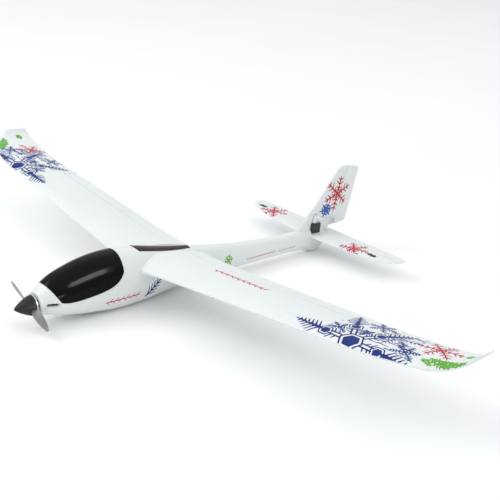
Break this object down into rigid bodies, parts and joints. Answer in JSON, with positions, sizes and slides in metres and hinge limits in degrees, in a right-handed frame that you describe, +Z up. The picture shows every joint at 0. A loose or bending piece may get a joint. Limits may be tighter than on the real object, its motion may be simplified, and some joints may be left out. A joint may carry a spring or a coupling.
{
  "type": "rc glider",
  "caption": "Electric foam glider: slim pod and boom, dark lift-off canopy, long upswept wing with upturned tips, low tailplane and nose propeller.",
  "frame": {"origin": "under the middle of the aircraft's bounding box, on the ground that the belly flat and the tail skid rest on", "axes": "+X to the port wing tip, +Y aft towards the tail, +Z up"},
  "size_m": [0.782, 0.5215, 0.1126],
  "materials": {
    "white_foam": "moulded foam",
    "black_gloss": "gloss",
    "smoke_gloss": "gloss",
    "black_satin": "satin",
    "grey_plastic": "satin",
    "bare_metal": "turned",
    "steel": "drawn",
    "motor_copper": "wound",
    "plywood": "bare",
    "battery_wrap": "shrink film",
    "strap_webbing": "woven",
    "circuit_board": "lacquered",
    "carbon": "carbon fibre",
    "servo_case": "satin",
    "white_nylon": "nylon"
  },
  "bodies": {
    "airframe": {"fuselage_port_shell": "white_foam", "fuselage_starboard_shell": "white_foam", "motor_mount": "black_satin", "motor_screws": "steel", "motor_stator": "motor_copper", "equipment_tray": "plywood", "battery_pack": "battery_wrap", "battery_strap": "strap_webbing", "control_board": "circuit_board", "fuselage_magnet": "steel", "wing_port": "white_foam", "wing_starboard": "white_foam", "wing_spar_port": "carbon", "wing_spar_starboard": "carbon", "wing_joiner": "black_satin", "wing_cover_strip": "smoke_gloss", "aileron_servo_port": "servo_case", "aileron_servo_starboard": "servo_case", "fin": "white_foam", "stabiliser": "white_foam", "stabiliser_spar": "carbon", "rudder_servo": "servo_case", "elevator_servo": "servo_case"},
    "propeller_unit": {"spinner": "black_satin", "propeller": "grey_plastic", "spinner_backplate": "bare_metal", "spinner_screw": "steel", "motor_shaft": "steel", "motor_bell": "bare_metal"},
    "canopy_hatch": {"canopy": "black_gloss", "canopy_magnet": "steel"},
    "aileron_port": {"aileron_port": "white_foam", "aileron_horn_port": "white_nylon"},
    "aileron_starboard": {"aileron_starboard": "white_foam", "aileron_horn_starboard": "white_nylon"},
    "aileron_port_arm": {"aileron_servo_arm_port": "white_nylon"},
    "aileron_starboard_arm": {"aileron_servo_arm_starboard": "white_nylon"},
    "aileron_port_rod": {"aileron_pushrod_port": "steel"},
    "aileron_starboard_rod": {"aileron_pushrod_starboard": "steel"},
    "elevator": {"elevator": "white_foam", "elevator_horn": "white_nylon"},
    "elevator_arm": {"elevator_servo_arm": "white_nylon"},
    "elevator_rod": {"elevator_pushrod": "steel"},
    "rudder": {"rudder": "white_foam", "rudder_horn": "white_nylon"},
    "rudder_arm": {"rudder_servo_arm": "white_nylon"},
    "rudder_rod": {"rudder_pushrod": "steel"}
  },
  "joints": [
    {"name": "propeller_spin", "type": "hinge", "parent": "airframe", "child": "propeller_unit", "pos_m": [0, -0.2404, 0.024], "axis": [0, -1, 0], "continuous": true},
    {"name": "canopy_lift", "type": "slide", "parent": "airframe", "child": "canopy_hatch", "axis": [0, 0, 1], "range_m": [0, 0.06]},
    {"name": "aileron_port_hinge", "type": "hinge", "parent": "airframe", "child": "aileron_port", "pos_m": [0.12, -0.0458, 0.05464], "axis": [0.9958, 0.0151, 0.09], "range_deg": [-25, 25]},
    {"name": "aileron_starboard_hinge", "type": "hinge", "parent": "airframe", "child": "aileron_starboard", "pos_m": [-0.12, -0.0458, 0.05464], "axis": [0.9958, -0.0151, -0.09], "range_deg": [-25, 25]},
    {"name": "aileron_port_arm_turn", "type": "hinge", "parent": "airframe", "child": "aileron_port_arm", "pos_m": [0.14892, -0.07537, 0.05069], "axis": [0.9958, 0.0151, 0.09], "range_deg": [-25, 25]},
    {"name": "aileron_starboard_arm_turn", "type": "hinge", "parent": "airframe", "child": "aileron_starboard_arm", "pos_m": [-0.14892, -0.07537, 0.05069], "axis": [0.9958, -0.0151, -0.09], "range_deg": [-25, 25]},
    {"name": "aileron_port_rod_pivot", "type": "hinge", "parent": "aileron_port_arm", "child": "aileron_port_rod", "pos_m": [0.14991, -0.07535, 0.03973], "axis": [0.9958, 0.0151, 0.09], "range_deg": [-25, 25]},
    {"name": "aileron_starboard_rod_pivot", "type": "hinge", "parent": "aileron_starboard_arm", "child": "aileron_starboard_rod", "pos_m": [-0.14991, -0.07535, 0.03973], "axis": [0.9958, -0.0151, -0.09], "range_deg": [-25, 25]},
    {"name": "elevator_hinge", "type": "hinge", "parent": "airframe", "child": "elevator", "pos_m": [0, 0.2042, 0.02567], "axis": [1, 0, 0], "range_deg": [-20, 20]},
    {"name": "elevator_arm_turn", "type": "hinge", "parent": "airframe", "child": "elevator_arm", "pos_m": [-0.0094, 0.1797, 0.0358], "axis": [1, 0, 0], "range_deg": [-20, 20]},
    {"name": "elevator_rod_pivot", "type": "hinge", "parent": "elevator_arm", "child": "elevator_rod", "pos_m": [-0.0094, 0.1797, 0.0448], "axis": [1, 0, 0], "range_deg": [-20, 20]},
    {"name": "rudder_hinge", "type": "hinge", "parent": "airframe", "child": "rudder", "pos_m": [0, 0.2122, 0.032], "axis": [0, 0.2795, 0.9601], "range_deg": [-25, 25]},
    {"name": "rudder_arm_turn", "type": "hinge", "parent": "airframe", "child": "rudder_arm", "pos_m": [0.004, 0.18204, 0.05005], "axis": [0, 0.2795, 0.9601], "range_deg": [-25, 25]},
    {"name": "rudder_rod_pivot", "type": "hinge", "parent": "rudder_arm", "child": "rudder_rod", "pos_m": [0.013, 0.18204, 0.05005], "axis": [0, 0.2795, 0.9601], "range_deg": [-25, 25]}
  ],
  "couplings": [
    {"joint": "aileron_starboard_hinge", "follows": "aileron_port_hinge", "ratio": -1},
    {"joint": "aileron_port_arm_turn", "follows": "aileron_port_hinge", "ratio": 1},
    {"joint": "aileron_port_rod_pivot", "follows": "aileron_port_hinge", "ratio": -1},
    {"joint": "aileron_starboard_arm_turn", "follows": "aileron_port_hinge", "ratio": -1},
    {"joint": "aileron_starboard_rod_pivot", "follows": "aileron_port_hinge", "ratio": 1},
    {"joint": "elevator_arm_turn", "follows": "elevator_hinge", "ratio": 1},
    {"joint": "elevator_rod_pivot", "follows": "elevator_hinge", "ratio": -1},
    {"joint": "rudder_arm_turn", "follows": "rudder_hinge", "ratio": 1},
    {"joint": "rudder_rod_pivot", "follows": "rudder_hinge", "ratio": -1}
  ]
}
